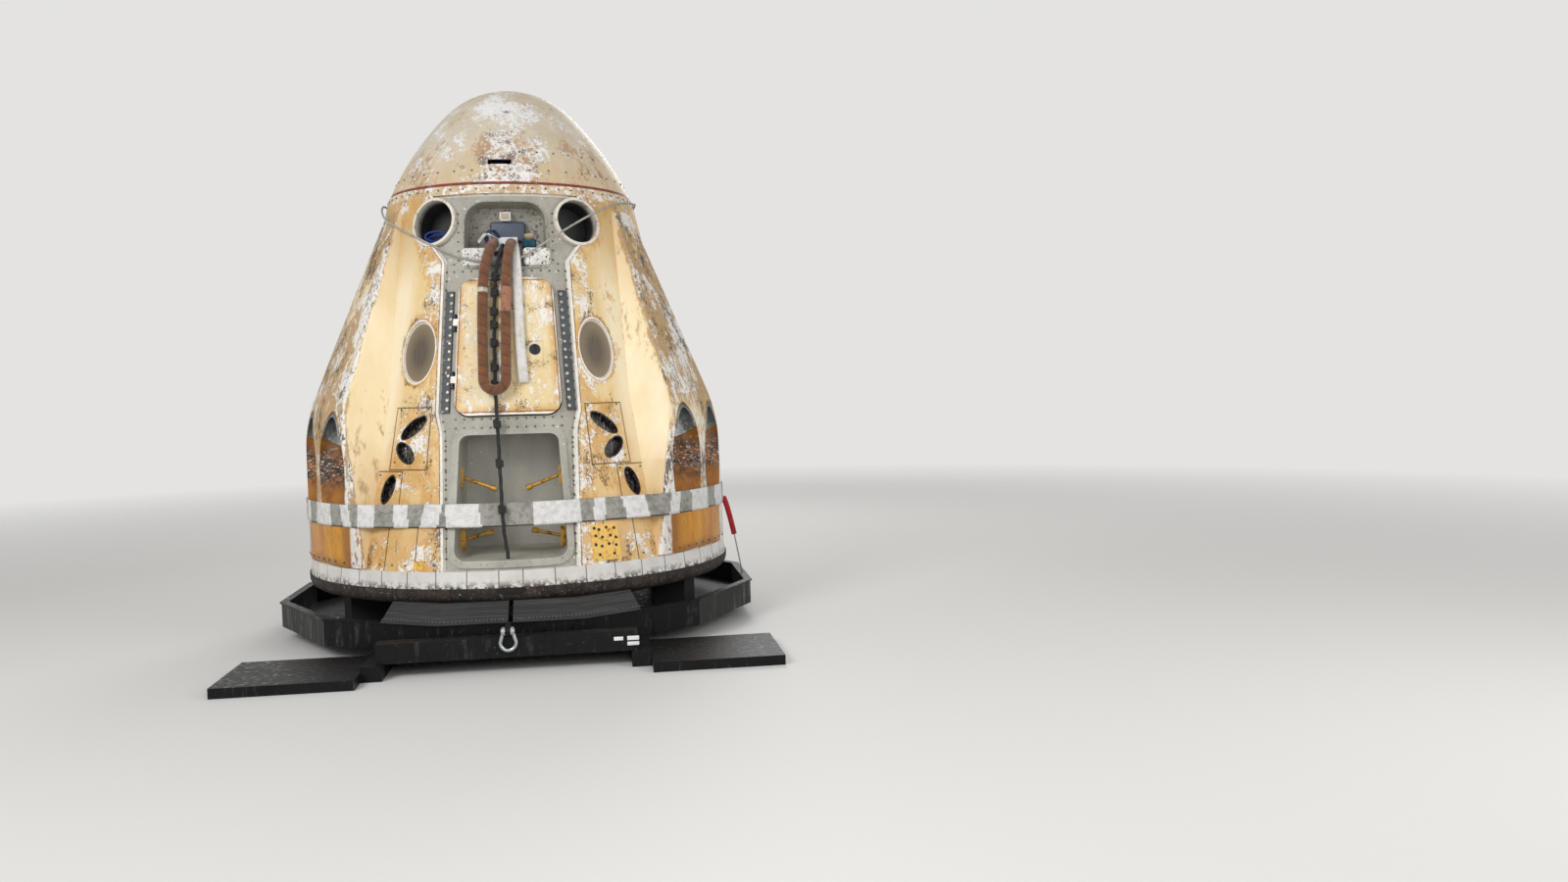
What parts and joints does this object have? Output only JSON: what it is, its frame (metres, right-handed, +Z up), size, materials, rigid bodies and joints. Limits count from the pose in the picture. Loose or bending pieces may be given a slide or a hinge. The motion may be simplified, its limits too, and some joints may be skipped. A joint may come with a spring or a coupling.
{
  "type": "crew space capsule on a recovery nest",
  "caption": "Landed conical crew capsule with hinged nose cone, side hatch, inner docking hatch, engine pods and open parachute bays, standing in a black steel recovery nest.",
  "frame": {"origin": "on the floor under the capsule's axis, at the centre of the nest's footprint", "axes": "+Z up along the capsule's axis; the side hatch faces -Y; +X is to the right of someone who looks at the hatch"},
  "size_m": [4.39, 5.6, 5.15],
  "materials": {
    "weathered_coating": "scorched white coating",
    "nose_coating": "scorched white coating",
    "pod_coating": "scorched white coating",
    "white_tile": "white tiles",
    "charred_shield": "charred ablator",
    "grey_paint": "grey primer",
    "dark_steel": "dark metal",
    "nozzle_metal": "heat darkened metal",
    "window_glass": "sooty glass",
    "machined_aluminium": "machined",
    "clamp_metal": "heat tinted metal",
    "cabin_trim": "moulded",
    "black_steel": "black paint",
    "black_rubber": "laminated rubber",
    "shackle_steel": "galvanised",
    "belt_webbing": "wrapped webbing",
    "strop_cover": "padded cover",
    "black_rope": "braided",
    "grey_line": "braided"
  },
  "bodies": {
    "capsule": {"heat_shield": "charred_shield", "shoulder_ring": "white_tile", "front_frame": "grey_paint", "front_right_panel": "weathered_coating", "front_left_panel": "weathered_coating", "rear_right_panel": "weathered_coating", "rear_left_panel": "weathered_coating", "upper_ring": "weathered_coating", "forward_bulkhead": "machined_aluminium", "cabin_floor": "cabin_trim", "main_parachute_bay": "grey_paint", "pilot_parachute_alcove": "grey_paint", "right_drogue_tube": "grey_paint", "left_drogue_tube": "grey_paint", "right_window": "window_glass", "left_window": "window_glass", "front_right_thrusters": "nozzle_metal", "front_left_thrusters": "nozzle_metal", "rear_right_thrusters": "nozzle_metal", "rear_left_thrusters": "nozzle_metal", "front_right_pod": "pod_coating", "front_left_pod": "pod_coating", "rear_right_pod": "pod_coating", "rear_left_pod": "pod_coating", "front_right_engines": "nozzle_metal", "front_left_engines": "nozzle_metal", "rear_right_engines": "nozzle_metal", "rear_left_engines": "nozzle_metal", "hatch_hinges": "dark_steel", "riser_channels": "dark_steel", "forward_hatch_hinge": "machined_aluminium", "docking_ring": "machined_aluminium", "crew_seats": "cabin_trim", "display_console": "cabin_trim", "nose_cone_hinge": "dark_steel", "nest_runners": "black_steel", "nest_deck": "black_steel", "nest_ring": "black_steel", "nest_front_beam": "black_steel", "nest_rear_beam": "black_steel", "nest_pads": "black_rubber", "nest_bumper": "black_rubber", "nest_bumper_shelf": "black_steel", "nest_foot_plates": "black_steel", "towing_lugs": "black_steel", "bow_shackle": "shackle_steel", "belt": "belt_webbing", "bay_clamp_arms": "clamp_metal", "riser_fitting": "machined_aluminium", "lifting_strop": "strop_cover", "knotted_rope": "black_rope", "tag_line": "grey_line"},
    "side_hatch": {"side_hatch": "weathered_coating", "hatch_latch_socket": "dark_steel"},
    "nose_cone": {"nose_cone": "nose_coating"},
    "forward_hatch": {"forward_hatch": "machined_aluminium"}
  },
  "joints": [
    {"name": "side_hatch_swing", "type": "hinge", "parent": "capsule", "child": "side_hatch", "pos_m": [-0.45855, -1.41898, 2.63674], "axis": [-0.0508, -0.2283, -0.9723], "range_deg": [0, 105], "deforming": ["lifting_strop", "knotted_rope"]},
    {"name": "nose_cone_swing", "type": "hinge", "parent": "capsule", "child": "nose_cone", "pos_m": [0, 1.225, 4.16], "axis": [-1, 0, 0], "range_deg": [0, 110]},
    {"name": "forward_hatch_swing", "type": "hinge", "parent": "capsule", "child": "forward_hatch", "pos_m": [0, 0.47, 3.975], "axis": [1, 0, 0], "range_deg": [0, 90]}
  ]
}
